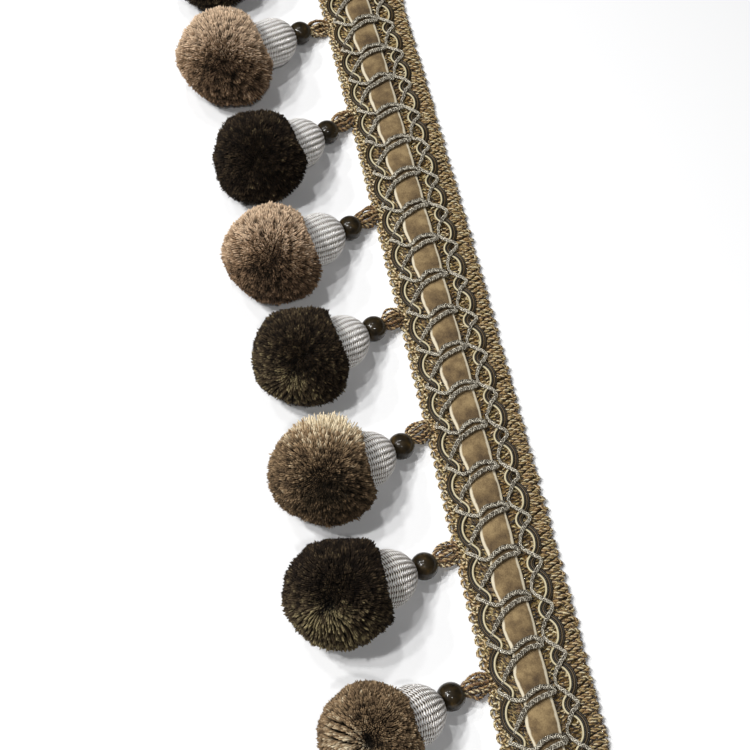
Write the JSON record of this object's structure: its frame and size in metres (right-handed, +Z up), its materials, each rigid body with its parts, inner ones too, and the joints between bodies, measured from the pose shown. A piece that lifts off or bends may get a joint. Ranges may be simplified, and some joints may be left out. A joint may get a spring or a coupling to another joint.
{
  "type": "pompom fringe trim",
  "caption": "Braided furnishing trim lying flat: gimp heading laced with velvet ribbon and silver cord, with cut pompoms on silver caps, beads and yarn loops along one edge.",
  "frame": {"origin": "middle of the heading's flat back, on the surface it lies on", "axes": "+X along the heading, +Y across it away from the pompoms, +Z up out of the heading's face"},
  "size_m": [0.4, 0.095, 0.0355],
  "materials": {
    "gold_gimp_yarn": "twisted rayon yarn, soft sheen",
    "border_yarn": "twisted rayon yarn, soft sheen",
    "taupe_velvet": "velvet pile with pale selvedges",
    "dark_gimp_cord": "wrapped gimp cord, satin",
    "cream_gimp_cord": "wrapped gimp cord, satin",
    "silver_thread": "metallic chain cord, sparkling",
    "loop_yarn": "space-dyed chenille yarn, matte",
    "bronze_bead": "dark bronze brown, glossy",
    "silver_winding": "wound metallic thread, satin",
    "light_pompom_yarn": "cut pile yarn, matte",
    "dark_pompom_yarn": "cut pile yarn, matte"
  },
  "bodies": {
    "root": {"heading_ground": "gold_gimp_yarn", "looped_border": "border_yarn", "velvet_ribbon": "taupe_velvet", "scroll_dark_left": "dark_gimp_cord", "scroll_cream_left": "cream_gimp_cord", "scroll_dark_right": "dark_gimp_cord", "scroll_cream_right": "cream_gimp_cord", "silver_lacing": "silver_thread", "silver_zigzag": "silver_thread", "loop_0": "loop_yarn", "bead_0": "bronze_bead", "cap_0": "silver_winding", "pompom_0": "dark_pompom_yarn", "loop_1": "loop_yarn", "bead_1": "bronze_bead", "cap_1": "silver_winding", "pompom_1": "light_pompom_yarn", "loop_2": "loop_yarn", "bead_2": "bronze_bead", "cap_2": "silver_winding", "pompom_2": "dark_pompom_yarn", "loop_3": "loop_yarn", "bead_3": "bronze_bead", "cap_3": "silver_winding", "pompom_3": "light_pompom_yarn", "loop_4": "loop_yarn", "bead_4": "bronze_bead", "cap_4": "silver_winding", "pompom_4": "dark_pompom_yarn", "loop_5": "loop_yarn", "bead_5": "bronze_bead", "cap_5": "silver_winding", "pompom_5": "light_pompom_yarn", "loop_6": "loop_yarn", "bead_6": "bronze_bead", "cap_6": "silver_winding", "pompom_6": "dark_pompom_yarn", "loop_7": "loop_yarn", "bead_7": "bronze_bead", "cap_7": "silver_winding", "pompom_7": "light_pompom_yarn"}
  },
  "joints": []
}
